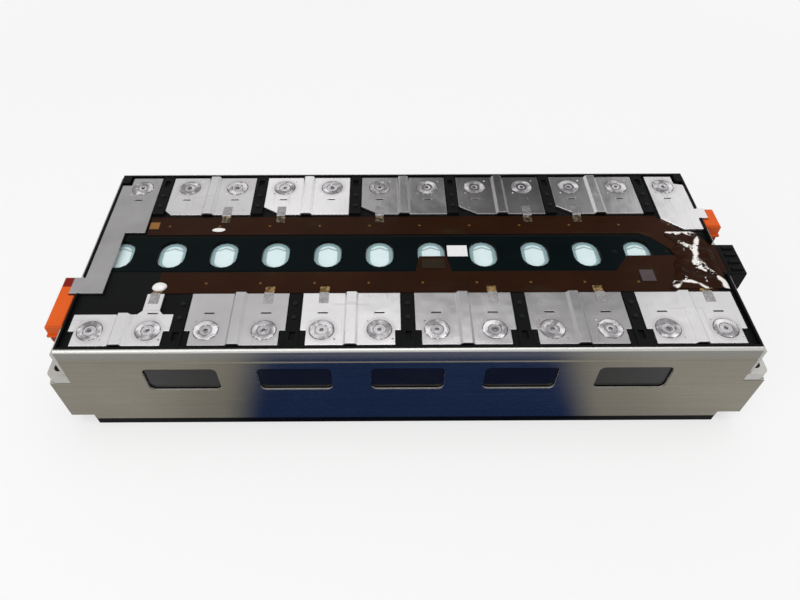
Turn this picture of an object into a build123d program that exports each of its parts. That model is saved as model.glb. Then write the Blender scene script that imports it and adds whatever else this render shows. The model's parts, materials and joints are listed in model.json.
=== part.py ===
"""Electric-car battery module with its cover off: twelve long prismatic cells in one row.

Frame: +X along the row of cells, -Y towards the front side plate, +Z up, millimetres.
The origin is the centre of the underside. Each piece is written to parts/NODE.step.
"""

import os

from build123d import *

# ---- driving dimensions, mm ----------------------------------------------------------------
cell_count = 12
cell_thickness = 44.6
cell_corner = 1.6  # bevelled vertical edges of the can
lid_height = 97.0  # top face of the cans
spacer_thickness = 1.4
spacer_gap = 0.1  # slack between a cell and the spacer
cell_pitch = cell_thickness + spacer_thickness + 2 * spacer_gap

terminal_from_side = 22.5  # terminal centre from the outer face of the side plate
terminal_length = 26.0
terminal_width = 24.0
terminal_height = 4.0

plate_thickness = 1.5  # side plate sheet
module_width = 225.0
plate_gap = 0.3  # slack above and below the side insulation
insulation_thickness = 0.7
insulation_slack = 0.1  # on each face of the side insulation
window_pitch = 2 * cell_pitch
window_count = 5
window_length = 60.0
window_height = 29.0
window_floor = 52.0  # underside of the windows
window_corner = 5.0
rail_above_lid = 6.6  # top of the side plate's rolled edge
rail_inset = 2.6  # how far the rolled edge turns in over the carrier
rail_radius = 2.4
plate_foot = 8.0  # lower edge of the side plate between the tongues
tongue_floor = 14.0  # lower edge of the tongues that wrap the end plates
tongue_top = 62.0
joggle_below_lid = 7.0  # above this line the plate steps inwards
joggle_depth = 0.6

end_plate_depth = 17.6
end_gap = 0.1
end_insulator_thickness = 0.8
ear_floor = 63.0
ear_top = 71.0
ear_width = 24.0
ear_corner = 6.0
ear_hole_radius = 4.5
ear_hole_inset = 8.5  # from the outer face of the end plate
ear_hole_from_side = 10.5
truss_top = 69.0
truss_web = 2.2
truss_outer_wall = 2.6
truss_inner_wall = 3.6
end_wall_above_lid = 2.0

tray_floor = 1.2
tray_rim_height = 7.7
tray_rim_wall = 1.4
tray_side_inset = 0.4
tray_end_inset = 2.0

carrier_gap = 0.3  # between the lids of the cells and the carrier
carrier_floor = 3.0
carrier_edge_gap = 0.3  # to the rolled edges of the side plates
rim_wall = 1.6
rim_above_lid = 7.0
divider_above_lid = 6.4
divider_clearance = 0.8
snap_length = 9.0
snap_width = 5.0
snap_depth = 2.0
corner_post_length = 8.4
corner_post_width = 12.0
corner_post_radius = 3.0
rivet_radius = 2.1
rivet_height = 0.9
rivet_places = (12.0, 27.0)  # along a divider, from its inner end

vent_length = 34.0
vent_width = 24.0
vent_film_thickness = 0.25
vent_film_clearance = 0.5
channel_half_width = 21.5  # half of the dark sheet that runs over the vents
channel_sheet_thickness = 0.4
peg_hole_radius = 3.0
peg_hole_places = (4.05, 5.06)  # along the row, in cell pitches
facets_round_vent = 16
facets_round_hole = 10

busbar_thickness = 2.0
busbar_pair_length = 80.6
busbar_depth = 55.0  # across the module
busbar_to_rim = 2.0
hump_height = 2.2
hump_top = 7.6
hump_foot = 11.6
weld_hole_radius = 1.6
notch_depth = 4.8
notch_height = 15.0
chamfer_long = 17.0
chamfer_short = 11.0
sight_slot_length = 8.0
sight_slot_width = 1.4
sight_slot_offset = 18.0

flex_thickness = 0.3
flex_to_busbar = 1.4
flex_width = 24.6
tab_width = 8.0
tab_thickness = 0.3
tab_on_flex = 8.0
tab_on_busbar = 11.0
rear_tab_places = (-3.6, -2.5, -0.5, 2.5, 3.5)  # along the row, in cell pitches
front_tab_places = (-4.55, -2.5, -1.5, 1.55, 3.5, 5.45)

cover_wall = 1.6
cover_below_lid = 7.0
cover_above_lid = 4.4
cover_corner = 2.5
cover_lip = 1.4
cover_lip_height = 2.0
foot_below_lid = 2.0
lead_thickness = 2.0
base_foot_depth = 7.0
base_band = 5.0
base_slack = 0.4  # between a terminal block and its cover
nut_across_flats = 8.0
nut_height = 4.0
nut_bore_radius = 2.5
nut_clearance = 0.3
holder_length = 13.0

socket_length = 37.0
socket_height = 20.0
socket_above_lid = 4.0
socket_rib_width = 3.0
socket_rib_height = 1.4
socket_rib_places = (-13.0, -4.5, 4.5, 13.0)
socket_wall = 2.4
socket_mouth_depth = 9.0
pin_columns = 10
pin_rows = 2
pin_size = 0.9
pin_reach = 3.0
pin_pitch = 2.6
pin_row_pitch = 5.0

lead_from_end = 2.4  # from the end of the row of cells to the edge of a lead
lead_arm = 19.5
lead_gap = 0.4  # from the wide part of a lead to the clearance line of the next pair
lead_hole_slack = 1.5  # wider than the thread, so the lead can settle on its block
lead_elbow = 26.0  # inner edge of the wide part, from the middle of the module
post_clearance = 9.0
lead_left = (-49.0, -31.0)  # where the left lead leaves the carrier, in Y
lead_right = (43.5, 56.5)
socket_y = (-27.6, 9.4)
cover_left = (-84.0, -28.0)
cover_right = (33.5, 58.5)
notch_left_length = 22.0
notch_right_length = 16.0
nut_from_wall = 5.6
nut_left_y = -66.0
nut_right_y = 50.0
sensor_x = 4.5  # middle of the temperature sensor, in cell pitches
sensor_size = (12.0, 13.5, 0.9)
patch_x = 0.52
patch_size = (20.0, 12.0, 0.5)
label_x = 1.0
label_size = (18.0, 14.0, 0.2)
bulge_reach = 19.0  # how far the front strip bulges over the middle

# ---- worked-out places ----------------------------------------------------------------------
core_half = cell_count * cell_pitch / 2  # the cells and their share of the spacers
end_inner = core_half + end_gap
end_outer = end_inner + end_plate_depth
half_width = module_width / 2
plate_inner = half_width - plate_thickness
side_film_outer = plate_inner - joggle_depth - insulation_slack
side_film_inner = side_film_outer - insulation_thickness
cell_width = 2 * (side_film_inner - insulation_slack)
terminal_offset = half_width - terminal_from_side
pair_gap = (window_pitch - busbar_pair_length) / 2
lead_pad = core_half - lead_from_end - 2.5 * window_pitch - pair_gap - lead_gap
rail_top = lid_height + rail_above_lid
rim_top = lid_height + rim_above_lid
divider_top = lid_height + divider_above_lid
joggle_height = lid_height - joggle_below_lid
end_wall_top = lid_height + end_wall_above_lid
cover_floor = lid_height - cover_below_lid
cover_top = lid_height + cover_above_lid
plinth_top = cover_floor - 1 - base_slack
lead_foot_top = lid_height - foot_below_lid
socket_top = lid_height + socket_above_lid
terminal_top = lid_height + terminal_height
busbar_top = terminal_top + busbar_thickness
carrier_bottom = lid_height + carrier_gap
deck = carrier_bottom + carrier_floor
carrier_half_width = half_width - joggle_depth - rail_inset - carrier_edge_gap
busbar_outer = carrier_half_width - rim_wall - busbar_to_rim
busbar_inner = busbar_outer - busbar_depth
flex_outer = busbar_inner - flex_to_busbar
flex_inner = flex_outer - flex_width
flex_floor = deck + channel_sheet_thickness
flex_top = flex_floor + flex_thickness
wall_face = end_inner + truss_inner_wall  # outer face of the end plate's tall wall
cover_outer = end_outer - cover_lip  # the caps and the socket stay inside the end plates
socket_inner = core_half + 2.2
socket_outer = end_outer - 0.1
nut_x = wall_face + nut_from_wall
ear_hole_x = end_outer - ear_hole_inset
ear_hole_y = half_width - ear_hole_from_side
rear, front = 1, -1


def box(x0, x1, y0, y1, z0, z1):
    """A block between two opposite corners."""
    place = Pos((x0 + x1) / 2, (y0 + y1) / 2, (z0 + z1) / 2)
    return place * Box(abs(x1 - x0), abs(y1 - y0), abs(z1 - z0))


def prism(points, z0, z1):
    """A flat plate of the given outline."""
    outline = make_face(Polyline(*points, close=True))
    return Pos(0, 0, z0) * extrude(outline, z1 - z0)


def flat_block(size):
    """A small block that stands on the origin."""
    return Pos(0, 0, size[2] / 2) * Box(*size)


def mirrored(points):
    return [(x, -y) for x, y in points]


def cell_x(index):
    """Centre of a cell, counted from 0 at the left end."""
    return (index - (cell_count - 1) / 2) * cell_pitch


def oval(length, width):
    """Outline of a vent, long across the module, with ends made of short flats."""
    end = RegularPolygon(width / 2, facets_round_vent, major_radius=False)
    shift = (length - width) / 2
    return make_hull((Pos(0, shift) * end).edges() + (Pos(0, -shift) * end).edges())


def round_peg(radius, height):
    """A short many-sided post, centred on the origin."""
    return extrude(RegularPolygon(radius, facets_round_hole), height / 2, both=True)


# ---- cells and what separates them ----------------------------------------------------------
def cell(index):
    x = cell_x(index)
    half = cell_thickness / 2
    can = box(x - half, x + half, -cell_width / 2, cell_width / 2, tray_floor, lid_height)
    can = chamfer(can.edges().filter_by(Axis.Z), cell_corner)
    for side in (rear, front):
        middle = side * terminal_offset
        can += box(
            x - terminal_width / 2,
            x + terminal_width / 2,
            middle - terminal_length / 2,
            middle + terminal_length / 2,
            lid_height,
            terminal_top,
        )
    return can


def spacers():
    """The soft insulating sheets between neighbouring cells."""
    half = (cell_pitch - cell_thickness) / 2 - spacer_gap
    sheets = []
    for index in range(cell_count - 1):
        x = (cell_x(index) + cell_x(index + 1)) / 2
        reach = cell_width / 2 - cell_corner
        sheets.append(box(x - half, x + half, -reach, reach, tray_floor, lid_height - 1))
    return Compound(children=sheets)


def end_insulator(side):
    x = side * (core_half - spacer_gap)
    inner = x - side * end_insulator_thickness * 0.75
    reach = cell_width / 2
    return box(inner, x, -reach, reach, tray_floor, lid_height)


def side_insulation(side):
    outer = side * side_film_outer
    inner = side * side_film_inner
    reach = core_half - 1
    floor = tray_rim_height + plate_gap
    return box(-reach, reach, inner, outer, floor, carrier_bottom - plate_gap)


def vent_films():
    """A pale film stuck over the burst vent of each cell."""
    size = vent_film_clearance * 2
    disc = extrude(oval(vent_length - size, vent_width - size), vent_film_thickness)
    return Compound(children=[Pos(cell_x(i), 0, lid_height) * disc for i in range(cell_count)])


# ---- metal frame ------------------------------------------------------------------------------
def plate_outline():
    """Side plate seen from the front: a long sheet with a tongue at each lower corner."""
    foot = core_half - tray_end_inset
    right = [
        (foot, plate_foot),
        (foot, tongue_floor),
        (end_outer, tongue_floor),
        (end_outer, tongue_top),
        (core_half, tongue_top),
        (core_half, rail_top + 1),
    ]
    left = [(-x, z) for x, z in reversed(right)]
    return make_face(Polyline(*right, *left, close=True))


def plate_section():
    """The sheet's section in Y and Z, with its joggle and the rolled top edge."""
    step = joggle_depth * 2
    bend = rail_top - rail_radius
    outer = half_width - joggle_depth
    face = Polyline(
        (half_width, plate_foot - 1),
        (half_width, joggle_height - step),
        (outer, joggle_height),
        (outer, bend),
    )
    roll = RadiusArc((outer, bend), (outer - rail_radius, rail_top), -rail_radius)
    lip = Line((outer - rail_radius, rail_top), (outer - rail_inset, rail_top))
    path = face + roll + lip
    return make_face(offset(path, plate_thickness, side=Side.LEFT, closed=True).edges())


def side_plate(side):
    section = Plane.YZ * plate_section()
    sheet = Pos(-end_outer, 0, 0) * extrude(section, 2 * end_outer)
    outline = Plane.XZ * plate_outline()
    sheet &= extrude(outline, -module_width)
    window = RectangleRounded(window_length, window_height, window_corner)
    for index in range(window_count):
        x = (index - (window_count - 1) / 2) * window_pitch
        place = Pos(x, 0, window_floor + window_height / 2)
        sheet -= place * extrude(Plane.XZ * window, -module_width)
    return sheet if side == rear else mirror(sheet, Plane.XZ)


def web(start, end, z0, z1):
    """One upright web of the end plate, between two points of its plan."""
    line = Line(start, end)
    outline = make_face(offset(line, truss_web / 2, side=Side.BOTH).edges())
    return Pos(0, 0, z0) * extrude(outline, z1 - z0)


def end_plate():
    """The right-hand end plate: a tall inner wall, a webbed box in front of it and two ears."""
    side_y = plate_inner - end_gap
    outer = end_outer - truss_outer_wall
    inner = end_inner + truss_inner_wall
    ear_start = half_width - ear_width
    plate = box(end_inner, inner, -side_y, side_y, tongue_floor, end_wall_top)
    plate += box(outer, end_outer, -ear_start, ear_start, tongue_floor, truss_top)
    for side in (rear, front):
        plate += box(
            end_inner, end_outer, side * ear_start, side * side_y, tongue_floor, ear_floor
        )
        ear = box(
            end_inner, end_outer, side * ear_start, side * half_width, ear_floor, ear_top
        )
        corner = ear.edges().filter_by(Axis.Z).group_by(Axis.X)[-1].sort_by(Axis.Y)
        ear = fillet(corner[-1] if side == rear else corner[0], ear_corner)
        plate += ear
        zigzag = [(outer, 84), (inner, 73), (outer, 57)]
        for a, b in zip(zigzag, zigzag[1:]):
            plate += web((a[0], side * a[1]), (b[0], side * b[1]), tongue_floor, truss_top)
        for y in (53, 44, 28):
            plate += web((inner, side * y), (outer, side * y), tongue_floor, truss_top)
        plate += web((inner, side * 9), (outer, side * 15), tongue_floor, truss_top)
    for side in (rear, front):
        hole = Cylinder(ear_hole_radius, 2 * ear_top)
        plate -= Pos(ear_hole_x, side * ear_hole_y, ear_floor) * hole
    return plate


def bottom_tray():
    """Shallow moulded tray under the cells; its rim shows below the side plates."""
    x = core_half - tray_end_inset
    y = half_width - tray_side_inset
    tray = box(-x, x, -y, y, 0, tray_rim_height)
    floor = cell_width / 2 + 0.2
    tray -= box(-x - 1, x + 1, -floor, floor, tray_floor, tray_rim_height + 1)
    return tray


# ---- busbar carrier -----------------------------------------------------------------------------
def divider_places(side):
    """Middle of each bar of the carrier that stands between two busbars."""
    if side == rear:
        return [(k - 2.5) * window_pitch for k in range(6)]
    return [(k - 2) * window_pitch for k in range(5)]


def divider(x, side):
    """One bar between two busbars; at the front it widens into the notches of the busbars."""
    half = pair_gap - divider_clearance
    inner = side * (busbar_inner + 1)
    outer = side * carrier_half_width
    bar = box(x - half, x + half, inner, outer, deck, divider_top)
    if side == front:
        wide = half + notch_depth
        shoulder = side * (busbar_outer - notch_height + divider_clearance)
        bar += box(x - wide, x + wide, shoulder, outer, deck, divider_top - 1)
    pocket_y = side * (busbar_outer - 9)
    bar -= box(
        x - snap_width / 2,
        x + snap_width / 2,
        pocket_y - snap_length / 2,
        pocket_y + snap_length / 2,
        divider_top - snap_depth,
        divider_top + 1,
    )
    return bar


def corner_post(side_x):
    """Solid corner of the carrier at the rear, with one rounded edge."""
    end = core_half - 0.4
    x = side_x * (end - corner_post_length)
    y = carrier_half_width - corner_post_width
    post = box(x, side_x * end, y, carrier_half_width, deck, rim_top)
    inner_edge = post.edges().filter_by(Axis.Z).sort_by(SortBy.DISTANCE)[0]
    return fillet(inner_edge, corner_post_radius)


def rivets():
    """Heat-formed plastic heads that hold the carrier's dividers."""
    heads = []
    z = divider_top + rivet_height / 2
    for side in (rear, front):
        for x in divider_places(side):
            for along in rivet_places:
                y = side * (busbar_inner + along)
                heads.append(Pos(x, y, z) * round_peg(rivet_radius, rivet_height))
    return Compound(children=heads)


def carrier():
    """The black moulding that holds the busbars above the cells."""
    x = core_half - 0.4
    y = carrier_half_width
    board = box(-x, x, -y, y, carrier_bottom, rim_top)
    board -= box(-x + rim_wall, x - rim_wall, -y + rim_wall, y - rim_wall, deck, rim_top + 1)
    clearance = divider_clearance
    vent = extrude(oval(vent_length, vent_width), carrier_floor + 2)
    for index in range(cell_count):
        for side in (rear, front):
            middle = side * terminal_offset
            board -= box(
                cell_x(index) - terminal_width / 2 - clearance,
                cell_x(index) + terminal_width / 2 + clearance,
                middle - terminal_length / 2 - clearance,
                middle + terminal_length / 2 + clearance,
                carrier_bottom - 1,
                deck + 0.001,
            )
        board -= Pos(cell_x(index), 0, carrier_bottom - 1) * vent
    for side in (rear, front):
        for place in divider_places(side):
            board += divider(place, side)
    board += corner_post(1)
    board += corner_post(-1)
    # gaps in the end walls where the two output leads and the flexible circuit leave
    board -= box(-x - 1, -x + rim_wall, lead_left[0] - 1, lead_left[1] + 1, deck, rim_top + 1)
    board -= box(x - rim_wall, x + 1, lead_right[0] - 1, lead_right[1] + 1, deck, rim_top + 1)
    board -= box(x - rim_wall, x + 1, socket_y[0] - 1, socket_y[1] + 1, deck, rim_top + 1)
    return board


# ---- busbars --------------------------------------------------------------------------------------
def hump_line(lift):
    """Underside of a paired busbar, from its left end to its right end, raised by lift."""
    half = busbar_pair_length / 2
    rise = [(half, 0), (hump_foot / 2, 0), (hump_top / 2, hump_height)]
    right = [(x, z + lift) for x, z in rise]
    left = [(-x, z) for x, z in reversed(right)]
    return right + left


def weld_features(plate, places, side):
    """The centre hole of each laser weld and the sight slot beside it."""
    for x in places:
        hole = round_peg(weld_hole_radius, 3 * busbar_thickness)
        plate -= Pos(x, side * terminal_offset, terminal_top) * hole
        slot_y = side * (terminal_offset - sight_slot_offset)
        plate -= box(
            x - sight_slot_length / 2,
            x + sight_slot_length / 2,
            slot_y - sight_slot_width / 2,
            slot_y + sight_slot_width / 2,
            busbar_top - busbar_thickness / 2,
            busbar_top + 1,
        )
    return plate


def humped_blank(x, outline):
    """A paired busbar bent over its middle, cut to the outline."""
    points = hump_line(0) + list(reversed(hump_line(busbar_thickness)))
    section = make_face(Polyline(*points, close=True))
    bar = extrude(Plane.XZ * section, module_width, both=True)
    bar = Pos(x, 0, terminal_top) * bar
    return bar & prism(outline, terminal_top - 1, busbar_top + hump_height + 1)


def rear_busbar(x, chamfered):
    half = busbar_pair_length / 2
    outline = [
        (x + half, busbar_outer),
        (x - half, busbar_outer),
        (x - half, busbar_inner + (chamfer_short if chamfered else 6)),
        (x - half + (chamfer_long if chamfered else 6), busbar_inner),
        (x + half, busbar_inner),
    ]
    bar = humped_blank(x, outline)
    return weld_features(bar, (x - cell_pitch / 2, x + cell_pitch / 2), rear)


def front_outline(x):
    """Front busbars narrow at their outer edge, where the carrier's catches stand."""
    half = busbar_pair_length / 2
    shoulder = busbar_outer - notch_height
    half_in = half - notch_depth
    points = [
        (x - half, busbar_inner),
        (x + half, busbar_inner),
        (x + half, shoulder),
        (x + half_in, shoulder),
        (x + half_in, busbar_outer),
        (x - half_in, busbar_outer),
        (x - half_in, shoulder),
        (x - half, shoulder),
    ]
    return mirrored(points)


def front_busbar(x):
    bar = humped_blank(x, front_outline(x))
    return weld_features(bar, (x - cell_pitch / 2, x + cell_pitch / 2), front)


def first_front_busbar(x):
    """The shorter front busbar at the left end, with a neck that reaches the circuit."""
    half = busbar_pair_length / 2
    top = terminal_offset - terminal_length / 2 - 4
    points = [(px, min(py, -top)) for px, py in front_outline(x)]
    bar = humped_blank(x, points)
    neck_x = x + cell_pitch / 2 - 2
    neck = [
        (neck_x - 11, -top - 0.5),
        (neck_x - 7, -top + 4),
        (neck_x - 7, -busbar_inner),
        (neck_x + 7, -busbar_inner),
        (neck_x + 7, -top + 4),
        (min(neck_x + 11, x + half), -top - 0.5),
    ]
    bar += prism(neck, terminal_top, busbar_top)
    return weld_features(bar, (x - cell_pitch / 2, x + cell_pitch / 2), front)


def lead(outline, side, span, terminal_x, places, nut_y):
    """An end busbar: a flat plate, a leg bent down outside the carrier and a bolted foot."""
    plate = prism(outline, terminal_top, busbar_top)
    leg_in = side * (wall_face + 0.6)
    leg_out = leg_in + side * lead_thickness
    foot_out = side * (cover_outer - cover_wall - base_slack)
    foot_floor = lead_foot_top - lead_thickness
    plate += box(side * (core_half - 8), leg_out, *span, terminal_top, busbar_top)
    plate += box(leg_in, leg_out, *span, foot_floor, busbar_top)
    low, high = min(span[0], nut_y - 6), max(span[1], nut_y + 6)
    plate += box(leg_in, foot_out, low, high, foot_floor, lead_foot_top)
    hole = round_peg(nut_bore_radius + lead_hole_slack, 3 * lead_thickness)
    plate -= Pos(terminal_x, nut_y, foot_floor) * hole
    return weld_features(plate, places, rear)


def left_lead():
    x = core_half - lead_from_end
    outline = [
        (-x, lead_left[0]),
        (-x + lead_arm, lead_left[0]),
        (-x + lead_arm, lead_elbow),
        (-x + lead_pad, lead_elbow),
        (-x + lead_pad, busbar_outer),
        (-x + post_clearance, busbar_outer),
        (-x + post_clearance, busbar_outer - post_clearance - 2),
        (-x, busbar_outer - post_clearance - 2),
    ]
    return lead(outline, -1, lead_left, -nut_x, (cell_x(0),), nut_left_y)


def right_lead():
    x = core_half - lead_from_end
    outline = [
        (x - lead_pad + 2, busbar_outer),
        (x - lead_pad + 2, lead_elbow + chamfer_long),
        (x - lead_arm + 1.5, lead_elbow + 2),
        (x, lead_elbow + 2),
        (x, busbar_outer - post_clearance - 4),
        (x - post_clearance, busbar_outer - post_clearance - 2),
        (x - post_clearance, busbar_outer),
    ]
    return lead(outline, 1, lead_right, nut_x, (cell_x(cell_count - 1),), nut_right_y)


# ---- output terminals -------------------------------------------------------------------------------
def terminal_base(side, span):
    """Insulating block on the end plate; it tapers towards its foot."""
    inner = side * (wall_face + 0.3)
    profile = [
        (inner, truss_top),
        (inner + side * base_foot_depth, truss_top),
        (side * cover_outer, plinth_top - base_band),
        (side * cover_outer, plinth_top),
        (inner, plinth_top),
    ]
    section = Plane.XZ * make_face(Polyline(*profile, close=True))
    return Pos(0, span[0], 0) * extrude(section, -(span[1] - span[0]))


def nut_holder(side, nut_y):
    """Small block under the foot of the lead, with a six-sided opening for the nut."""
    inner = side * (wall_face + 0.3)
    outer = side * (cover_outer - cover_wall - base_slack)
    foot_floor = lead_foot_top - lead_thickness
    low, high = nut_y - holder_length / 2, nut_y + holder_length / 2
    block = box(inner, outer, low, high, plinth_top, foot_floor)
    size = nut_across_flats / 2 + nut_clearance
    pocket = RegularPolygon(size, 6, major_radius=False, rotation=30)
    return block - Pos(side * nut_x, nut_y, plinth_top - 1) * extrude(pocket, 2 * nut_height)


def terminal_nut(side, nut_y):
    hexagon = RegularPolygon(nut_across_flats / 2, 6, major_radius=False, rotation=30)
    nut = extrude(hexagon - Circle(nut_bore_radius), nut_height)
    floor = lead_foot_top - lead_thickness - nut_height - nut_clearance
    return Pos(side * nut_x, nut_y, floor) * nut


def terminal_cover(side, span, notch):
    """Snap-on cap over an output terminal, open below and notched where the lead enters."""
    inner = side * (end_inner + 1)
    outer = side * cover_outer
    cap = box(inner, outer, *span, cover_floor, cover_top)
    edges = cap.edges().group_by(Axis.Z)[-1]
    cap = chamfer(edges, cover_corner * 0.6)
    lip = box(
        side * (wall_face + 3.2),
        outer + side * cover_lip,
        span[0] - cover_lip,
        span[1] + cover_lip,
        cover_floor - 1,
        cover_floor - 1 + cover_lip_height,
    )
    cap += lip
    hollow = box(
        inner - side,
        outer - side * cover_wall,
        span[0] + cover_wall,
        span[1] - cover_wall,
        cover_floor - 2,
        cover_top - cover_wall,
    )
    cap -= hollow
    leg = side * (wall_face + lead_thickness + 1.4)
    cap -= box(inner - side * 2, leg, notch[0], notch[1], cover_floor - 2, cover_top + 1)
    clear_of_wall = side * (wall_face + 0.3)
    cap -= box(inner - side * 2, clear_of_wall, -half_width, half_width, 0, end_wall_top + 0.3)
    return cap


# ---- circuit and socket ----------------------------------------------------------------------------
def flex_outline():
    """Plan of the flexible circuit: two long strips that join at the right-hand end."""
    left, right = -core_half + lead_pad + 4, core_half - lead_pad
    edge = core_half + 1.6
    inside = core_half - 4
    strip = flex_inner - 1
    low = strip - bulge_reach
    near = flex_outer - 1
    patch = patch_x * cell_pitch
    return [
        (left, flex_outer),
        (right - 6, flex_outer),
        (right + 16, lead_elbow + 1),
        (inside, socket_y[1] - 0.4),
        (edge, socket_y[1] - 0.4),
        (edge, socket_y[0] + 1.6),
        (inside, socket_y[0] + 1.6),
        (right + 22, -near),
        (left + 24, -near),
        (left + 24, -strip),
        (patch - 16, -strip),
        (patch - 12, -low),
        (patch + 12, -low),
        (patch + 16, -strip),
        (3.95 * cell_pitch, -strip),
        (4.25 * cell_pitch, -low),
        (5.28 * cell_pitch, -low),
        (4.85 * cell_pitch, strip - 5),
        (4.63 * cell_pitch, flex_inner),
        (left, flex_inner),
    ]


def flex_circuit():
    return prism(flex_outline(), flex_floor, flex_top)


def channel_sheet():
    """Dark sheet over the middle of the carrier, open above every vent."""
    x = core_half - 2.6
    sheet = box(-x, x, -channel_half_width, channel_half_width, deck, flex_floor)
    opening = extrude(oval(vent_length, vent_width), carrier_floor)
    for index in range(cell_count):
        sheet -= Pos(cell_x(index), 0, deck - 1) * opening
    for place in peg_hole_places:
        sheet -= Pos(place * cell_pitch, 2, deck) * round_peg(peg_hole_radius, carrier_floor)
    return sheet


def sampling_tab(x, side):
    """Nickel strip that steps up from the circuit to the top of a busbar."""
    z0, z1 = flex_top, busbar_top
    y0 = flex_outer - tab_on_flex
    t = tab_thickness
    lower = [(y0, z0), (flex_outer - 1.4, z0), (busbar_inner - 1, z1), (busbar_inner + tab_on_busbar, z1)]
    upper = [(y, z + t) for y, z in reversed(lower)]
    section = make_face(Polyline(*lower, *upper, close=True))
    tab = Pos(x - tab_width / 2, 0, 0) * extrude(Plane.YZ * section, tab_width)
    return tab if side == rear else mirror(tab, Plane.XZ)


def sampling_tabs():
    tabs = [sampling_tab(place * cell_pitch, rear) for place in rear_tab_places]
    tabs += [sampling_tab(place * cell_pitch, front) for place in front_tab_places]
    return Compound(children=tabs)


def sensor_pads():
    """The temperature sensor and the stiffened patch of the circuit."""
    middle = -(flex_inner + flex_outer) / 2
    sensor = Pos(sensor_x * cell_pitch, middle + 7, flex_top) * flat_block(sensor_size)
    patch_y = -(flex_inner - 1 - bulge_reach / 2)
    patch = Pos(patch_x * cell_pitch, patch_y, flex_top) * flat_block(patch_size)
    return Compound(children=[sensor, patch])


def blank_label():
    return Pos(label_x * cell_pitch, 2.5, flex_floor) * flat_block(label_size)


def socket_housing():
    """Signal socket at the right-hand end, its mouth facing outwards."""
    x0, x1 = socket_inner, socket_outer
    floor = socket_top - socket_height
    body = box(x0, x1, *socket_y, floor, socket_top)
    body = fillet(body.edges().filter_by(Axis.X), 1.2)
    wall = socket_wall
    body -= box(
        x1 - socket_mouth_depth,
        x1 + 1,
        socket_y[0] + wall,
        socket_y[1] - wall,
        floor + wall,
        socket_top - wall,
    )
    inner = wall_face + 0.3
    body -= box(x0 - 1, inner, socket_y[0] - 1, socket_y[1] + 1, floor - 1, end_wall_top + 0.3)
    middle = sum(socket_y) / 2
    for place in socket_rib_places:
        low = middle + place - socket_rib_width / 2
        high = low + socket_rib_width
        body += box(inner + 2, x1 - 2, low, high, socket_top - 0.5, socket_top + socket_rib_height)
    foot = box(inner, x0 + 9, socket_y[0] + 6, socket_y[1] - 6, truss_top, floor + 0.5)
    return body + foot


def socket_pins():
    root = socket_outer - socket_mouth_depth
    middle_y = sum(socket_y) / 2
    middle_z = socket_top - socket_height / 2
    pins = []
    for column in range(pin_columns):
        for row in range(pin_rows):
            y = middle_y + (column - (pin_columns - 1) / 2) * pin_pitch
            z = middle_z + (row - (pin_rows - 1) / 2) * pin_row_pitch
            half = pin_size / 2
            pins.append(box(root, root + pin_reach, y - half, y + half, z - half, z + half))
    return Compound(children=pins)


# ---- all pieces -----------------------------------------------------------------------------------------
def build():
    pieces = {f"cell_{i + 1:02d}": cell(i) for i in range(cell_count)}
    pieces["cell_spacers"] = spacers()
    pieces["end_insulator_left"] = end_insulator(-1)
    pieces["end_insulator_right"] = end_insulator(1)
    pieces["side_insulation_front"] = side_insulation(front)
    pieces["side_insulation_rear"] = side_insulation(rear)
    pieces["vent_films"] = vent_films()
    pieces["side_plate_front"] = side_plate(front)
    pieces["side_plate_rear"] = side_plate(rear)
    pieces["end_plate_right"] = end_plate()
    pieces["end_plate_left"] = mirror(end_plate(), Plane.YZ)
    pieces["bottom_tray"] = bottom_tray()
    pieces["busbar_carrier"] = carrier()
    for k in range(5):
        pieces[f"rear_busbar_{k + 1}"] = rear_busbar((k - 2) * window_pitch, k > 0)
    pieces["front_busbar_1"] = first_front_busbar(-2.5 * window_pitch)
    for k in range(1, 6):
        pieces[f"front_busbar_{k + 1}"] = front_busbar((k - 2.5) * window_pitch)
    pieces["output_lead_left"] = left_lead()
    pieces["output_lead_right"] = right_lead()
    pieces["terminal_base_left"] = terminal_base(-1, cover_left)
    pieces["terminal_base_right"] = terminal_base(1, cover_right)
    pieces["nut_holder_left"] = nut_holder(-1, nut_left_y)
    pieces["nut_holder_right"] = nut_holder(1, nut_right_y)
    pieces["terminal_nut_left"] = terminal_nut(-1, nut_left_y)
    pieces["terminal_nut_right"] = terminal_nut(1, nut_right_y)
    notch_left = (cover_left[1] - notch_left_length, cover_left[1] + 1)
    notch_right = (cover_right[1] - notch_right_length, cover_right[1] + 1)
    pieces["terminal_cover_left"] = terminal_cover(-1, cover_left, notch_left)
    pieces["terminal_cover_right"] = terminal_cover(1, cover_right, notch_right)
    pieces["carrier_rivets"] = rivets()
    pieces["channel_sheet"] = channel_sheet()
    pieces["flex_circuit"] = flex_circuit()
    pieces["sampling_tabs"] = sampling_tabs()
    pieces["sensor_pads"] = sensor_pads()
    pieces["blank_label"] = blank_label()
    pieces["socket_housing"] = socket_housing()
    pieces["socket_pins"] = socket_pins()
    return pieces


os.makedirs("parts", exist_ok=True)
for name, shape in build().items():
    export_step(shape, f"parts/{name}.step")
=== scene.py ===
"""Looks of an electric-car battery module with its cover off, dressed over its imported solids."""

import json
from math import pi, radians

import bmesh
import bpy
from mathutils import Matrix, Vector, noise


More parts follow.
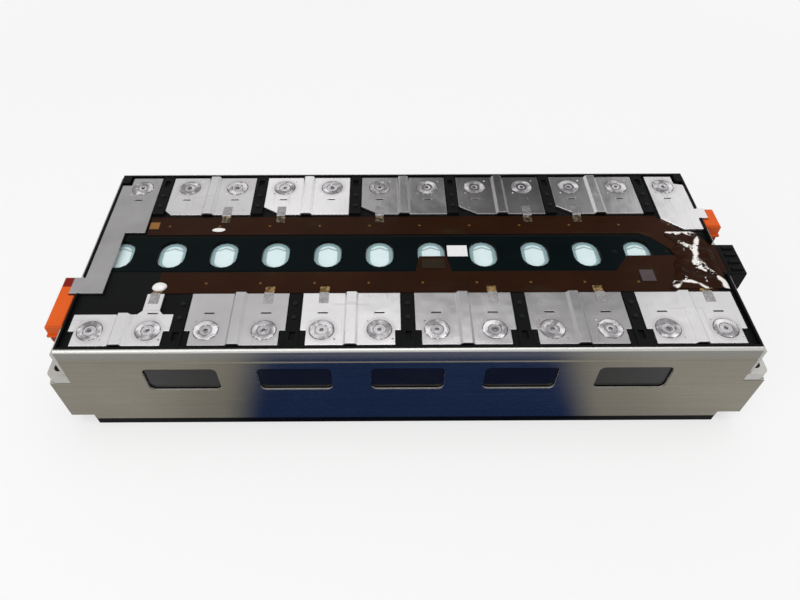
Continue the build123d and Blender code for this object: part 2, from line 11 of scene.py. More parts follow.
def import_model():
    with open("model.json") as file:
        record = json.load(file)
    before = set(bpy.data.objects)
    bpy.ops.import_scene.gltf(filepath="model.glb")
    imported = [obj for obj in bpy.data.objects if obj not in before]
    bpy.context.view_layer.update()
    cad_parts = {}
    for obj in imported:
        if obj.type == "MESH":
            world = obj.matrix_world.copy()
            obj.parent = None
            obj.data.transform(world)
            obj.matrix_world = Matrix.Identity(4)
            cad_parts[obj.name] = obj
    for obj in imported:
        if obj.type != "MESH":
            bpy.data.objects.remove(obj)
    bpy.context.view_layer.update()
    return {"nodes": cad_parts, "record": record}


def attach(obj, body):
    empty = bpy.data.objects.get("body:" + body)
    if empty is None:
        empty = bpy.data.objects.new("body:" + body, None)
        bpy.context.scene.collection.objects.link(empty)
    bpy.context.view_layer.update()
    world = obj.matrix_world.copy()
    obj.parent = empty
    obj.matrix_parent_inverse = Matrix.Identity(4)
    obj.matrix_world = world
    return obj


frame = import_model()
nodes = frame["nodes"]

MM = 0.001
cell_count = 12
cell_pitch = 46.2 * MM
half_row = cell_count / 2 * cell_pitch
terminal_offset = 90 * MM  # a terminal's centre, from the middle of the module
slot_offset = 72 * MM  # a busbar's slot, from the middle of the module
row_edge = 49.5 * MM  # between the busbars and the circuit, from the middle
step_height = 88 * MM  # above this line the side plates step inwards
plate_face = 112.5 * MM  # outer face of a side plate, from the middle
busbar_top = 103 * MM
circuit_top = 101 * MM


# ---- shader maths ---------------------------------------------------------------------------
class Socket:
    """A shader value that can be used in ordinary sums."""

    def __init__(self, tree, out):
        self.tree, self.out = tree, out

    def node(self, kind, settings=None, **inputs):
        """Makes a node. Inputs are given by name, or by number as i0, i1 and so on."""
        made = self.tree.nodes.new(kind)
        for key, value in (settings or {}).items():
            if key == "stops":
                ramp = made.color_ramp
                while len(ramp.elements) < len(value):
                    ramp.elements.new(0.5)
                for element, (place, colour) in zip(ramp.elements, value):
                    element.position = place
                    element.color = (*colour, 1)
            else:
                setattr(made, key, value)
        for key, value in inputs.items():
            numbered = key[0] == "i" and key[1:].isdigit()
            socket = made.inputs[int(key[1:]) if numbered else key.replace("_", " ")]
            if isinstance(value, Socket):
                self.tree.links.new(value.out, socket)
            elif isinstance(value, tuple) and len(value) == 3 and socket.type == "RGBA":
                socket.default_value = (*value, 1)
            else:
                socket.default_value = value
        return made

    def wrap(self, out):
        return Socket(self.tree, out)

    def maths(self, operation, *values):
        numbered = {f"i{i}": v for i, v in enumerate(values)}
        return self.wrap(self.node("ShaderNodeMath", {"operation": operation}, **numbered).outputs[0])

    def __add__(self, other): return self.maths("ADD", self, other)
    def __radd__(self, other): return self.maths("ADD", other, self)
    def __sub__(self, other): return self.maths("SUBTRACT", self, other)
    def __rsub__(self, other): return self.maths("SUBTRACT", other, self)
    def __mul__(self, other): return self.maths("MULTIPLY", self, other)
    def __rmul__(self, other): return self.maths("MULTIPLY", other, self)
    def __truediv__(self, other): return self.maths("DIVIDE", self, other)
    def __rtruediv__(self, other): return self.maths("DIVIDE", other, self)
    def __abs__(self): return self.maths("ABSOLUTE", self)
    def __lt__(self, other): return self.maths("LESS_THAN", self, other)
    def __gt__(self, other): return self.maths("GREATER_THAN", self, other)

    def sin(self): return self.maths("SINE", self)
    def root(self): return self.maths("SQRT", self)
    def angle(self, x): return self.maths("ARCTAN2", self, x)
    def most(self, other): return self.maths("MAXIMUM", self, other)
    def least(self, other): return self.maths("MINIMUM", self, other)
    def wrap_to(self, low, high): return self.maths("WRAP", self, high, low)

    def ramp(self, low, high, start=0.0, end=1.0):
        """Goes smoothly from start to end as the value goes from low to high."""
        made = self.node("ShaderNodeMapRange", {"interpolation_type": "SMOOTHSTEP"},
                         Value=self, From_Min=low, From_Max=high, To_Min=start, To_Max=end)
        return self.wrap(made.outputs[0])


def blend(near, factor, a, b):
    """Mixes two colours in the tree of the socket near."""
    made = near.node("ShaderNodeMix", {"data_type": "RGBA"}, i0=factor, i6=a, i7=b)
    return near.wrap(made.outputs[2])


class Finish:
    """A material with one principled shader, read in the object's own place in metres."""

    def __init__(self, name, **constants):
        self.material = bpy.data.materials.new(name)
        self.material.use_nodes = True
        self.tree = self.material.node_tree
        self.shader = self.tree.nodes["Principled BSDF"]
        start = Socket(self.tree, None)
        place = start.node("ShaderNodeTexCoord").outputs["Object"]
        self.place = start.wrap(place)
        split = start.node("ShaderNodeSeparateXYZ", Vector=self.place)
        self.x, self.y, self.z = (start.wrap(o) for o in split.outputs)
        for key, value in constants.items():
            self.set(key, value)

    def set(self, key, value):
        socket = self.shader.inputs[key.replace("_", " ")]
        if isinstance(value, Socket):
            self.tree.links.new(value.out, socket)
        elif isinstance(value, tuple):
            socket.default_value = (*value, 1)
        else:
            socket.default_value = value

    def noise(self, scale, detail=4.0, rough=0.55, stretch=(1, 1, 1), distortion=0.0):
        """Soft noise; a stretch under 1 draws it out along that axis."""
        moved = self.place.node("ShaderNodeMapping", Vector=self.place, Scale=stretch)
        made = self.place.node("ShaderNodeTexNoise", Vector=self.place.wrap(moved.outputs[0]),
                               Scale=scale, Detail=detail, Roughness=rough, Distortion=distortion)
        return self.place.wrap(made.outputs[0])

    def pores(self, scale):
        made = self.place.node("ShaderNodeTexVoronoi", Vector=self.place, Scale=scale)
        return self.place.wrap(made.outputs[0])

    def blend(self, factor, a, b):
        return blend(self.place, factor, a, b)

    def bump(self, height, depth, strength=1.0, edge=0.0004):
        """Relief of the given depth in metres, over softly rounded edges."""
        rounded = self.place.node("ShaderNodeBevel", {"samples": 4}, Radius=edge)
        made = self.place.node("ShaderNodeBump", Height=height, Distance=depth, Strength=strength,
                               Normal=self.place.wrap(rounded.outputs[0]))
        self.set("Normal", self.place.wrap(made.outputs[0]))


def across_cell(finish):
    """Place along the row, from the middle of the nearest cell."""
    return (finish.x + half_row).wrap_to(0.0, cell_pitch) - cell_pitch / 2


def weld_place(finish):
    """Distance from the nearest weld's centre, and the angle round it."""
    x = across_cell(finish)
    y = abs(finish.y) - terminal_offset
    return (x * x + y * y).root(), y.angle(x)


# ---- finishes ----------------------------------------------------------------------------------
def side_sheet():
    """Rolled sheet: fine lines along the row, soft clouds, painted shade in a less metallic band above
    the step, and painted highlights along the top edge and the set-back window edges.
    """
    f = Finish("side_sheet")
    streaks = f.noise(60, 5, 0.6, (0.12, 1, 9))
    cloud = f.noise(9, 3)
    scuffs = f.noise(45, 6, 0.7, (0.5, 1, 1.4)).ramp(0.58, 0.72)
    tone = streaks * 0.3 + cloud * 0.45 + scuffs * 0.15
    base = f.blend(tone, (0.150, 0.136, 0.105), (0.37, 0.345, 0.285))
    # the band above the step is painted darker and grey-blue as shade, and made less metallic
    upper = f.z.ramp(0.0885, 0.0990)
    shaded_band = f.blend(upper * 0.5, base, (0.22, 0.23, 0.235))
    # painted highlight along the rolled top edge
    hem_highlight = f.z.ramp(0.1010, 0.1020)
    # painted highlight on the set-back window edges below the step, which are also made less metallic
    edge = abs(f.y).ramp(plate_face - 0.3 * MM, plate_face - 0.6 * MM)
    reveal_highlight = edge * f.z.ramp(step_height, step_height - MM)
    f.set("Base_Color", f.blend(hem_highlight * 0.8 + reveal_highlight * 0.9, shaded_band, (0.66, 0.65, 0.62)))
    f.set("Metallic", 0.99 - upper * 0.32 - reveal_highlight * 0.6)
    f.set("Roughness", 0.18 + streaks * 0.12 + cloud * 0.06 + scuffs * 0.08)
    f.bump(streaks + f.noise(900, 2) * 0.3, 0.00006, edge=0.0012)
    return f


def frame_aluminium():
    """Extruded aluminium with upright drawing lines."""
    f = Finish("frame_aluminium", Metallic=0.9)
    lines = f.noise(140, 4, 0.6, (1, 1, 0.05))
    cloud = f.noise(25, 4)
    f.set("Base_Color", f.blend(cloud * 0.6 + lines * 0.3, (0.32, 0.31, 0.29), (0.66, 0.65, 0.62)))
    f.set("Roughness", 0.32 + cloud * 0.18)
    f.bump(lines + cloud * 0.4, 0.00008)
    return f


# for each row of sheets: the cell at which each starts, and how light each is painted, a painted
# reflection that differs from sheet to sheet
rear_row = ((0, 1, 3, 5, 7, 9, 11), (0.12, 0.52, 0.98, 0.22, 0.14, 0.55, 1.0))
front_row = ((0, 2, 4, 6, 8, 10), (0.74, 0.36, 0.84, 0.40, 0.20, 0.70))


def painted_reflection_tone(f):
    """How light the sheet at this place is painted: a painted reflection, one grey per sheet."""
    along = (f.x + half_row) / (2 * half_row)
    tones = []
    for starts, greys in (rear_row, front_row):
        stops = [(start / cell_count, (grey,) * 3) for start, grey in zip(starts, greys)]
        row = along.node("ShaderNodeValToRGB", {"stops": stops}, i0=along)
        row.color_ramp.interpolation = "CONSTANT"
        tones.append(along.wrap(row.outputs[0]))
    return tones[0] * (f.y > -row_edge) + tones[1] * (f.y < -row_edge)


def busbar_sheet():
    """Punched aluminium sheet: clouds, scuffs, a slot mark, a warm patch at each weld, and a painted
    reflection that sets how light each sheet is.
    """
    f = Finish("busbar_sheet", Metallic=0.9)
    r = weld_place(f)[0]
    heat = r.ramp(0.0150, 0.0100)
    soot = r.ramp(0.0026, 0.0014)
    grain = f.noise(500, 3, 0.6, (1, 0.15, 1))
    cloud = f.noise(16, 3)
    wear = f.noise(70, 6, 0.7).ramp(0.60, 0.74)
    half_slot = 0.0032 + (f.y < 0.0) * 0.0009
    on_line = abs(abs(f.y) - slot_offset).ramp(0.0009, 0.0007)
    slot = on_line * (abs(across_cell(f)) - half_slot).ramp(0.0003, -0.0002)
    # each sheet's painted reflection, varied by random clouds
    tone = painted_reflection_tone(f) + (cloud - 0.5) * 0.5
    base = f.blend(tone.most(0.0).least(1.0), (0.30, 0.292, 0.298), (0.92, 0.905, 0.915))
    across = f.noise(30, 2, 0.5, (9, 0.6, 1)).ramp(0.66, 0.70)
    scratch = across + f.noise(26, 2, 0.5, (0.5, 8, 1)).ramp(0.68, 0.72)
    worn = f.blend((wear * 0.3 + scratch * 0.14).least(0.6), base, (0.30, 0.29, 0.30))
    warm = f.blend(heat * 0.35, worn, (0.40, 0.37, 0.38))
    marked = f.blend(slot * 0.9, warm, (0.03, 0.03, 0.03))
    f.set("Base_Color", f.blend(soot * 0.6, marked, (0.06, 0.055, 0.055)))
    f.set("Roughness", 0.16 + cloud * 0.10 + grain * 0.05 + wear * 0.10)
    f.bump(grain * 0.10 + cloud * 0.5 + f.noise(26, 2) * 1.8, 0.0004, edge=0.0009)
    return f


def weld_metal():
    """Remelted aluminium: scaly ripples round each weld, darker where it was hottest."""
    f = Finish("weld_metal", Metallic=0.9)
    r, angle = weld_place(f)
    ripple = (angle * 30.0 + r * 2200.0 + f.noise(160, 2) * 5.0).sin().ramp(-1, 1)
    rough = f.noise(420, 4)
    patch = f.noise(110, 3).ramp(0.38, 0.62)
    base = f.blend(patch, (0.24, 0.23, 0.24), (0.86, 0.84, 0.86))
    inner, outer = (abs(r - bound).ramp(0.0007, 0.0002) for bound in (0.0051, 0.0100))
    burnt = ((inner + outer) * rough.ramp(0.4, 0.5)).least(1.0)
    scaled = f.blend(ripple * 0.4, base, (0.22, 0.21, 0.22))
    f.set("Base_Color", f.blend(burnt, scaled, (0.07, 0.065, 0.065)))
    f.set("Roughness", 0.22 + rough * 0.25)
    f.bump(ripple * 0.6 + rough * 0.7, 0.0003)
    return f


def clouded(name, scale, detail, colours, rough, depth, **constants):
    """An even finish: one noise drives its tone, its gloss and its relief."""
    f = Finish(name, **constants)
    cloud = f.noise(scale, detail)
    f.set("Base_Color", f.blend(cloud, *colours))
    f.set("Roughness", rough[0] + cloud * rough[1])
    f.bump(cloud, depth)
    return f


def black_moulding(name, tone, rough):
    """Moulded plastic with a fine grain."""
    f = Finish(name, Specular_IOR_Level=0.045)
    grain = f.noise(1800, 2, 0.5)
    cloud = f.noise(35, 4)
    dark, light = (tone, tone * 1.05, tone * 1.1), (tone * 2.2, tone * 2.3, tone * 2.4)
    f.set("Base_Color", f.blend(cloud * 0.7 + grain * 0.2, dark, light))
    f.set("Roughness", rough - 0.08 + cloud * 0.14 + grain * 0.05)
    f.bump(grain, 0.00008)
    return f


def dark_film(name, colour, second, rough, shine):
    """Smooth film, a little wavy."""
    f = Finish(name, Specular_IOR_Level=shine)
    cloud = f.noise(22, 5, 0.6)
    wave = f.noise(60, 3, 0.5, (0.4, 1, 1))
    f.set("Base_Color", f.blend(cloud, colour, second))
    f.set("Roughness", rough + cloud * 0.12)
    f.bump(wave, 0.0006, 0.5)
    return f


def circuit_film():
    """Brown laminate with faint copper runs under it, a little wavy."""
    f = Finish("circuit_film", Coat_Roughness=0.1, Coat_IOR=1.12, Specular_IOR_Level=0.03)
    wave = f.noise(38, 4, 0.5, (0.7, 1, 1), 0.4)
    cloud = f.noise(14, 4)
    runs = ((f.y * (2 * pi / 0.0021)).sin()).ramp(0.1, 0.6)
    base = f.blend(cloud, (0.008, 0.004, 0.0015), (0.036, 0.0095, 0.003))
    traced = f.blend(runs * 0.25, base, (0.040, 0.016, 0.007))
    dot_x = across_cell(f) + cell_pitch * 0.2
    dot_y = abs(f.y) - 36.5 * MM
    dot = (dot_x * dot_x + dot_y * dot_y).root().ramp(0.0013, 0.0009)
    end_pad = f.x.ramp(-0.2265, -0.2275) * f.y.ramp(0.0325, 0.0335) * f.y.ramp(0.0425, 0.0415)
    patch = f.noise(30, 3, 0.5, (0.6, 1, 1)).ramp(0.56, 0.70)
    dull = f.blend(patch * 0.6, traced, (0.024, 0.018, 0.008))
    gold = dot * 0.6 + end_pad
    f.set("Base_Color", f.blend(gold, dull, (0.26, 0.12, 0.035)))
    f.set("Roughness", 0.22 + cloud * 0.14)
    f.set("Coat_Weight", 0.1 + wave * 0.5)
    f.bump(wave + patch * 0.4 + runs * 0.04, 0.0012, 0.6)
    return f


creases = (  # ends of each crease, in metres
    ((0.2455, 0.0350), (0.2660, 0.0195)),
    ((0.2660, 0.0195), (0.2574, 0.0020)),
    ((0.2574, 0.0020), (0.2562, -0.0191)),
    ((0.2560, -0.0150), (0.2744, -0.0431)),
    ((0.2235, -0.0365), (0.2440, -0.0371)),
    ((0.2440, -0.0371), (0.2560, -0.0460)),
    ((0.2330, 0.0300), (0.2500, 0.0250)),
    ((0.2590, 0.0280), (0.2700, 0.0230)),
    ((0.2574, 0.0020), (0.2480, 0.0110)),
    ((0.2290, -0.0430), (0.2400, -0.0330)),
)


def crumpled_wrap():
    """Clear film over the brown circuit, with painted white highlights along its sharp creases and
    painted glints.
    """
    f = Finish("crumpled_wrap", Specular_IOR_Level=0.035)
    bent = f.noise(40, 3, 0.6)
    wide = f.noise(55, 2, 0.5)
    px, py = f.x + (bent - 0.5) * 0.008, f.y + (f.noise(48, 3) - 0.5) * 0.008
    nearest = None
    for (ax, ay), (bx, by) in creases:
        ex, ey = bx - ax, by - ay
        share = ((px - ax) * ex + (py - ay) * ey) / (ex * ex + ey * ey)
        along = share.most(0.0).least(1.0)
        dx, dy = px - ax - along * ex, py - ay - along * ey
        gap = (dx * dx + dy * dy).root()
        nearest = gap if nearest is None else nearest.least(gap)
    # painted white highlights along the creases, broken up by noise, and painted glints
    streak = (nearest - (wide - 0.30) * 0.0120).ramp(0.0009, -0.0007)
    highlight_gaps = f.noise(120, 4, 0.7).ramp(0.40, 0.47)
    glint = f.noise(110, 3, 0.6, (1, 0.5, 1)).ramp(0.66, 0.70)
    painted_highlight = (streak * highlight_gaps + glint * 0.6).least(1.0)
    cloud = f.noise(60, 4, 0.6)
    base = f.blend(cloud, (0.006, 0.003, 0.0015), (0.040, 0.013, 0.005))
    f.set("Base_Color", f.blend(painted_highlight, base, (0.90, 0.86, 0.82)))
    f.set("Roughness", 0.16 + cloud * 0.15)
    f.bump(cloud + streak * 0.8, 0.0014, 0.8)
    return f


def vent_window():
    """Pale film over a vent; its rim and the roof-shaped score below show through."""
    f = Finish("vent_window", Coat_Roughness=0.15, Coat_Weight=0.4)
    x = across_cell(f)
    cloud = f.noise(60, 4)
    roof = abs(f.y - 0.0105 + abs(x) * 0.42)
    score = roof.ramp(0.0012, 0.0005) * abs(x).ramp(0.0092, 0.0085)
    ex, ey = abs(x) / 0.0115, (abs(f.y) - 0.005).most(0.0) / 0.0115
    edge = (ex * ex + ey * ey).root()
    rim = edge.ramp(0.70, 0.78)
    inner = edge.ramp(0.80, 0.76) * f.y.ramp(0.013, 0.008)
    base = f.blend(cloud, (0.46, 0.66, 0.68), (0.74, 0.90, 0.91))
    pale = f.blend(inner * 0.5, base, (0.80, 0.90, 0.92))
    edged = f.blend(rim * 0.75, pale, (0.16, 0.30, 0.32))
    f.set("Base_Color", f.blend(score * 0.6, edged, (0.13, 0.22, 0.24)))
    f.set("Roughness", 0.22 + cloud * 0.2)
    f.bump(cloud * 0.8 - score * 0.6 - rim * 0.8, 0.0005)
    return f


def nickel():
    """Nickel strips that end on spotted pads; the rear row of pads is painted darker and greyer as
    shade.
    """
    f = Finish("nickel", Metallic=0.9)
    cloud = f.noise(120, 4)
    spots = f.noise(420, 3, 0.6).ramp(0.42, 0.60)
    metal = f.blend(cloud, (0.20, 0.19, 0.19), (0.42, 0.41, 0.41))
    pad = abs(f.y).ramp(0.0492, 0.0484)
    copper = f.blend(spots, (0.10, 0.055, 0.018), (0.36, 0.24, 0.10))
    # the rear row of pads is painted darker and greyer as shade
    behind = f.blend(spots, (0.045, 0.030, 0.018), (0.20, 0.16, 0.11))
    pads = f.blend(f.y.ramp(-0.01, 0.01), copper, behind)
    f.set("Base_Color", f.blend(pad, f.blend(spots * 0.3, metal, (0.6, 0.6, 0.6)), pads))
    f.set("Roughness", 0.24 + cloud * 0.2)
    f.bump(cloud, 0.0002)
    return f


def orange_moulding():
    """Orange plastic, painted deep red as shade in its recesses, on the rear part of the left cover
    and on the block below.
    """
    f = Finish("orange_moulding", Specular_IOR_Level=0.12)
    cloud = f.noise(40, 4)
    grain = f.noise(1500, 2)
    outer = f.blend(cloud * 0.6 + grain * 0.15, (0.66, 0.085, 0.008), (0.80, 0.140, 0.018))
    # deep red painted as shade: in the recesses of both covers and on the rear part of the left cover
    left = f.y.ramp(-0.0834, -0.0832) * f.y.ramp(-0.0270, -0.0272) * (f.x < 0.0)
    left_rear_shade = f.y.ramp(-0.0402, -0.0398) * (f.x < 0.0) * abs(f.x).ramp(0.2931, 0.2927)
    right = f.y.ramp(0.0341, 0.0343) * f.y.ramp(0.0579, 0.0577) * (f.x > 0.0)
    recess_shade = (left + right) * abs(f.x).ramp(0.2930, 0.2926) * f.z.ramp(0.1010, 0.1006)
    # the block below is painted deeper red as shade
    low = f.z.ramp(0.0890, 0.0882)
    f.set("Base_Color", f.blend((recess_shade + left_rear_shade + low * 0.75).least(1.0), outer, (0.20, 0.007, 0.003)))
    f.set("Roughness", 0.34 + cloud * 0.14)
    f.bump(grain + cloud * 0.3, 0.00008)
    return f


def sensor_resin():
    """Grey potting on the sensor, dark varnish on the stiffened patch."""
    f = Finish("sensor_resin", Specular_IOR_Level=0.1)
    cloud = f.noise(60, 4)
    grey = f.blend(cloud, (0.050, 0.036, 0.040), (0.105, 0.080, 0.085))
    varnish = f.blend(cloud, (0.008, 0.005, 0.002), (0.026, 0.017, 0.008))
    f.set("Base_Color", f.blend(f.x.ramp(0.100, 0.110), varnish, grey))
    f.set("Roughness", 0.3 + cloud * 0.15)
    f.bump(cloud, 0.0004)
    return f


def foam():
    f = Finish("foam")
    pores = f.pores(900)
    cloud = f.noise(60, 3)
    f.set("Base_Color", f.blend(cloud, (0.03, 0.03, 0.032), (0.07, 0.07, 0.075)))
    f.set("Roughness", 0.7 + pores * 0.2)
    f.bump(pores, 0.0003)
    return f


finishes = {
    "side_plate": side_sheet(),
    "end_plate": frame_aluminium(),
    "busbar": busbar_sheet(),
    "cell_can": clouded("can_metal", 30, 4, ((0.45, 0.46, 0.47), (0.62, 0.63, 0.64)),
                        (0.38, 0.2), 0.0001, Metallic=0.8),
    "carrier": black_moulding("carrier_black", 0.0035, 0.42),
    "tray": black_moulding("tray_black", 0.002, 0.5),
    "rivet": black_moulding("rivet_black", 0.009, 0.45),
    "socket": black_moulding("socket_black", 0.004, 0.36),
    "insulation": dark_film("insulation_film", (0.003, 0.0025, 0.0025), (0.010, 0.009, 0.008),
                            0.10, 0.32),
    "channel_sheet": dark_film("channel_film", (0.0010, 0.0028, 0.0032), (0.0028, 0.0065, 0.0072),
                               0.2, 0.03),
    "flex_circuit": circuit_film(),
    "vent_film": vent_window(),
    "sampling_tab": nickel(),
    "terminal_cover": orange_moulding(),
    "weld": weld_metal(),
    "wrap": crumpled_wrap(),
    "glue": clouded("set_glue", 220, 3, ((0.74, 0.72, 0.69), (0.90, 0.89, 0.87)),
                    (0.35, 0.2), 0.0004, Coat_Weight=0.5, Coat_Roughness=0.2),
    "nut": clouded("plated_steel", 200, 4, ((0.40, 0.40, 0.40), (0.62, 0.62, 0.62)),
                   (0.25, 0.2), 0.0001, Metallic=0.95),
    "pin": clouded("gold_plate", 300, 3, ((0.62, 0.42, 0.14), (0.80, 0.60, 0.25)),
                   (0.22, 0.15), 0.00005, Metallic=0.95),
    "label": clouded("blank_paper", 700, 4, ((0.70, 0.70, 0.71), (0.84, 0.84, 0.84)),
                     (0.55, 0.15), 0.00006),
    "spacer": foam(),
    "sensor": sensor_resin(),
}

finishes["terminal_base"] = finishes["terminal_cover"]
slot_of = {s["node"]: s["material_slot"] for s in frame["record"]["subparts"]}
for name, piece in nodes.items():
    piece.data.materials.clear()
    piece.data.materials.append(finishes[slot_of[name]].material)


# ---- pieces added over the solids ------------------------------------------------------------------
def finished(bm, name, finish, smooth=True):
    """Turns a bmesh into a piece that rides on the module."""
    bmesh.ops.remove_doubles(bm, verts=bm.verts, dist=1e-6)
    bmesh.ops.recalc_face_normals(bm, faces=bm.faces)
    for face in bm.faces:
        face.smooth = smooth
    mesh = bpy.data.meshes.new(name)
    bm.to_mesh(mesh)
    bm.free()
    mesh.materials.append(finishes[finish].material)
    piece = bpy.data.objects.new(name, mesh)
    bpy.context.scene.collection.objects.link(piece)
    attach(piece, "root")
    return piece


def cell_x(index):
    """Centre of a cell, counted from 0 at the left end."""
    return (index - (cell_count - 1) / 2) * cell_pitch


def turned_ring(bm, centre, profile, steps):
    """Spins a closed profile of (radius, height) pairs round an upright axis."""
    x, y, z = centre
    corners = [bm.verts.new((x + r, y, z + h)) for r, h in profile]
    rim = [bm.edges.new((a, b)) for a, b in zip(corners, corners[1:] + corners[:1])]
    bmesh.ops.spin(bm, geom=corners + rim, cent=(x, y, z), axis=(0, 0, 1), angle=2 * pi,
                   steps=steps, use_merge=True)


def weld_beads():
    """Two remelted rings round each terminal's centre, standing a little proud."""
    wide = [(4.9, -0.1), (5.1, 0.16), (5.7, 0.34), (6.5, 0.20), (7.3, 0.38), (8.2, 0.22),
            (9.1, 0.38), (10.0, 0.18), (10.5, -0.1)]
    small = [(1.7, -0.1), (1.8, 0.22), (2.4, 0.34), (3.2, 0.22), (3.5, -0.1)]
    bm = bmesh.new()
    for side in (1, -1):
        for index in range(cell_count):
            centre = (cell_x(index), side * terminal_offset, busbar_top)
            for profile, steps in ((wide, 36), (small, 20)):
                turned_ring(bm, centre, [(r * MM, h * MM) for r, h in profile], steps)
    finished(bm, "weld_beads", "weld")


def punch_dots():
    """Small locating dots punched beside each weld."""
    bm = bmesh.new()
    for side in (1, -1):
        for index in range(cell_count):
            for dx, dy in ((-9.5, -9.0), (10.5, 9.5)):
                x, y = cell_x(index) + dx * MM, side * (terminal_offset + dy * MM)
                made = bmesh.ops.create_uvsphere(bm, u_segments=10, v_segments=6, radius=0.9 * MM)
                squash = Matrix.Translation((x, y, busbar_top)) @ Matrix.Diagonal((1, 1, 0.3, 1))
                bmesh.ops.transform(bm, matrix=squash, verts=made["verts"])
    finished(bm, "punch_dots", "weld")


def glue_blobs():
    """Set drops of white adhesive on the circuit."""
    bm = bmesh.new()
    for place, size in (((-209.5, -41.0), (6.2, 5.0, 2.6)), ((-171, 31), (6.0, 2.6, 0.8))):
        made = bmesh.ops.create_uvsphere(bm, u_segments=28, v_segments=14, radius=MM)
        for vert in made["verts"]:
            lobe = 1 + 0.12 * vert.co.x / MM * vert.co.y / MM
            vert.co = Vector((vert.co.x * size[0] * lobe, vert.co.y * size[1], vert.co.z * size[2]))
            vert.co += Vector((place[0] * MM, place[1] * MM, circuit_top + 0.3 * MM))
    finished(bm, "glue_blobs", "glue")


def crumpled_film():
    """Loose clear film bunched over the circuit where it turns to the socket."""
    bm = bmesh.new()
    made = bmesh.ops.create_grid(bm, x_segments=56, y_segments=84, size=0.5)
    front_edge, length, right_edge = -45.5, 72, 274.2
    floor_height = circuit_top / MM + 0.15
    for vert in made["verts"]:
        u, v = vert.co.x + 0.5, vert.co.y + 0.5
        y = front_edge + length * v
        left = 240 - 18 * (1 - v) ** 2 + 8 * noise.noise(Vector((v * 6, 2.5, 0)))
        right = right_edge - max(0.0, (v - 0.78) * 40)
        x = left + (right - left) * u
        ridge = noise.ridged_multi_fractal(Vector((x / 26, y / 18, 0.4)), 0.8, 2.2, 4, 0.9, 1.6)
        rim = min(1, 6 * min(u, 1 - u, v, 1 - v))  # the edges lie flat
        vert.co = Vector((x, y, floor_height + rim * (0.25 + 0.95 * ridge))) * MM
    bmesh.ops.solidify(bm, geom=bm.faces[:], thickness=-0.1 * MM)
    finished(bm, "crumpled_film", "wrap")


weld_beads()
punch_dots()
glue_blobs()
crumpled_film()


# ---- stage ------------------------------------------------------------------------------------------
def ray_kinds(start):
    """Factors for rays from the camera, from mirrors and through glass."""
    rays = start.node("ShaderNodeLightPath")
    kinds = ("Is Camera Ray", "Is Glossy Ray", "Is Transmission Ray")
    return [start.wrap(rays.outputs[kind]) for kind in kinds]


def split_place(start, kind):
    """X, Y and Z of a texture coordinate."""
    place = start.wrap(start.node("ShaderNodeTexCoord").outputs[kind])
    return [start.wrap(o) for o in start.node("ShaderNodeSeparateXYZ", Vector=place).outputs]


def floor_material():
    """White floor that keeps the shadow. Mirrors also see a blue cloth in front of the module."""
    material = bpy.data.materials.new("floor")
    material.use_nodes = True
    tree = material.node_tree
    shader = tree.nodes["Principled BSDF"]
    shader.inputs["Roughness"].default_value = 0.9
    start = Socket(tree, None)
    seen, mirrored, through = ray_kinds(start)
    x, y, _ = split_place(start, "Object")
    cloth_middle, cloth_half = 6 * MM, 160 * MM
    aside = abs(x - cloth_middle)
    sides = (aside / cloth_half).ramp(1.10, 0.84)
    cloth = sides * y.ramp(-0.52, -0.30) * y.ramp(-0.100, -plate_face) * mirrored
    penumbra = aside.ramp(0.270, 0.165) * mirrored * 0.45
    far = (x * x + y * y).root().ramp(0.55, 1.9, 0.6, 1.0)
    grey, blue = (0.30, 0.30, 0.29), (0.020, 0.062, 0.26)
    lit, shine = (blend(start, cloth, blend(start, penumbra, pale, grey), blue)
                  for pale in ((0.86, 0.86, 0.86), (1.0, 1.0, 1.0)))
    tree.links.new(lit.out, shader.inputs["Base Color"])
    glow = start.node("ShaderNodeEmission", Color=shine, Strength=1.0)
    mixed = start.node("ShaderNodeMixShader", i0=(seen + mirrored + through) * far,
                       i1=start.wrap(shader.outputs[0]), i2=start.wrap(glow.outputs[0]))
    tree.links.new(mixed.outputs[0], tree.nodes["Material Output"].inputs["Surface"])
    return material


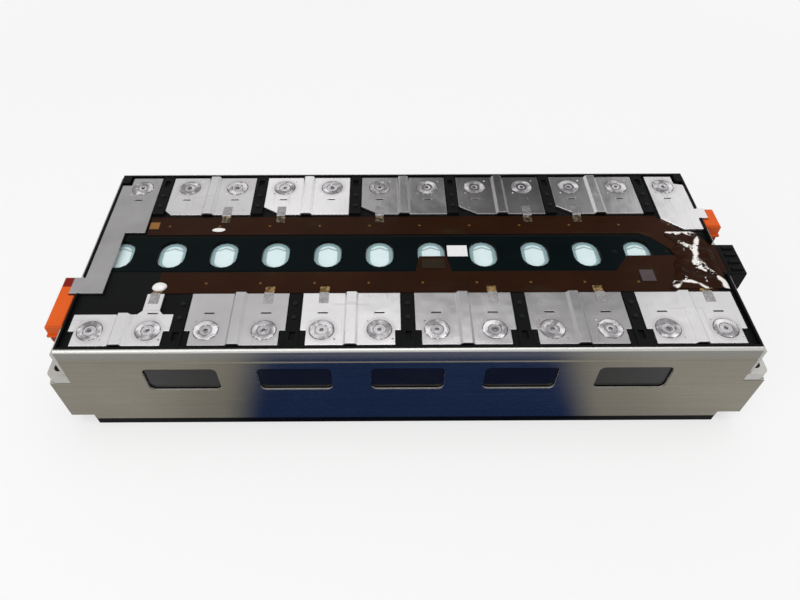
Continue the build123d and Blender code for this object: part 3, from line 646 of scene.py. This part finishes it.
def floor():
    bm = bmesh.new()
    bmesh.ops.create_grid(bm, x_segments=1, y_segments=1, size=6)
    mesh = bpy.data.meshes.new("floor")
    bm.to_mesh(mesh)
    bm.free()
    mesh.transform(Matrix.Translation((0, 0, -0.4 * MM)))
    mesh.materials.append(floor_material())
    piece = bpy.data.objects.new("floor", mesh)
    bpy.context.scene.collection.objects.link(piece)


def lamp(name, place, aim, size, power):
    data = bpy.data.lights.new(name, "AREA")
    data.shape = "RECTANGLE"
    data.size, data.size_y = size
    data.energy = power
    item = bpy.data.objects.new(name, data)
    item.location = place
    item.rotation_euler = (Vector(aim) - Vector(place)).to_track_quat("-Z", "Y").to_euler()
    bpy.context.scene.collection.objects.link(item)


def world():
    """White room; mirrors also see a dark wall high up behind the module."""
    made = bpy.data.worlds.new("room")
    bpy.context.scene.world = made
    made.use_nodes = True
    tree = made.node_tree
    back = tree.nodes["Background"]
    start = Socket(tree, None)
    seen, mirrored, through = ray_kinds(start)
    x, y, z = split_place(start, "Generated")
    dark_wall = z.ramp(0.36, 0.44) * z.ramp(0.78, 0.66) * y.ramp(0.2, 0.4)
    dark_wall = dark_wall * x.ramp(-0.03, 0.05) * x.ramp(0.40, 0.31)
    level = 0.52 + (seen + through) * 0.48 + mirrored * (0.33 - dark_wall * 0.85)
    tree.links.new(level.out, back.inputs["Strength"])
    back.inputs["Color"].default_value = (1, 1, 1, 1)


def camera():
    """A wide view from above the front edge, shifted and cropped to the module."""
    zoom, wide_lens, shift = 1.47, 19.5165, (0.0116, 0.0245)
    data = bpy.data.cameras.new("camera")
    data.sensor_width = 36
    data.lens = wide_lens * zoom
    data.shift_x, data.shift_y = (s * zoom for s in shift)
    data.clip_start = 0.01
    item = bpy.data.objects.new("camera", data)
    item.location = (-0.0195, -0.4138, 0.4955)
    item.rotation_euler = (radians(90 - 50.42), 0, radians(-0.34))
    bpy.context.scene.collection.objects.link(item)
    bpy.context.scene.camera = item


floor()
world()
camera()
lamp("overhead", (0.1, -0.1, 2.4), (0, 0, 0), (3.0, 2.0), 31)
lamp("front_left", (-1.1, -1.2, 1.1), (0, 0, 0.05), (0.9, 0.9), 6)
bpy.context.scene.view_settings.view_transform = "Standard"
